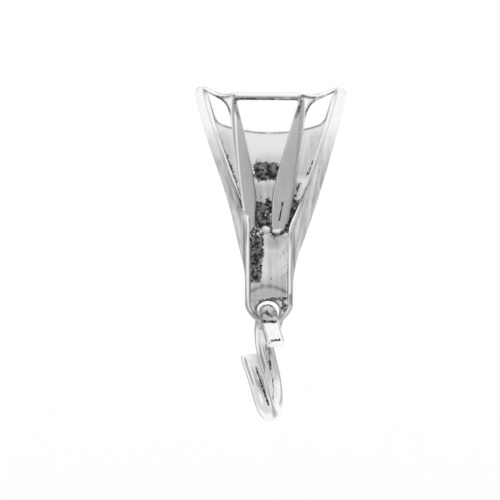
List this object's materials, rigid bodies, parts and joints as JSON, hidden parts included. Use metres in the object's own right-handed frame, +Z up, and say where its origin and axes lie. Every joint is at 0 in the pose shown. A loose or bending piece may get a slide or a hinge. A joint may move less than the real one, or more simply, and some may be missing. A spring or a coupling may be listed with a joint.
{
  "type": "open pendant bail with jump ring",
  "caption": "Small pendant bail: an open, flared cage of folded sheet metal on a narrow tab, with an open jump ring that hangs in a hole at the tab's end.",
  "frame": {"origin": "middle of the passage for the chain, under the two side straps", "axes": "+X to the right along the chain, -Y towards the viewer of the front, +Z up"},
  "size_m": [0.0066, 0.0053, 0.0149],
  "materials": {
    "polished_silver": "polished silver sheet",
    "silver_wire": "polished silver wire"
  },
  "bodies": {
    "bail": {"bail_body": "polished_silver"},
    "ring": {"jump_ring": "silver_wire"}
  },
  "joints": [
    {"name": "ring_swing", "type": "hinge", "parent": "bail", "child": "ring", "pos_m": [0, 0.00022, -0.00973], "axis": [1, 0, 0], "range_deg": [-18, 18]}
  ]
}
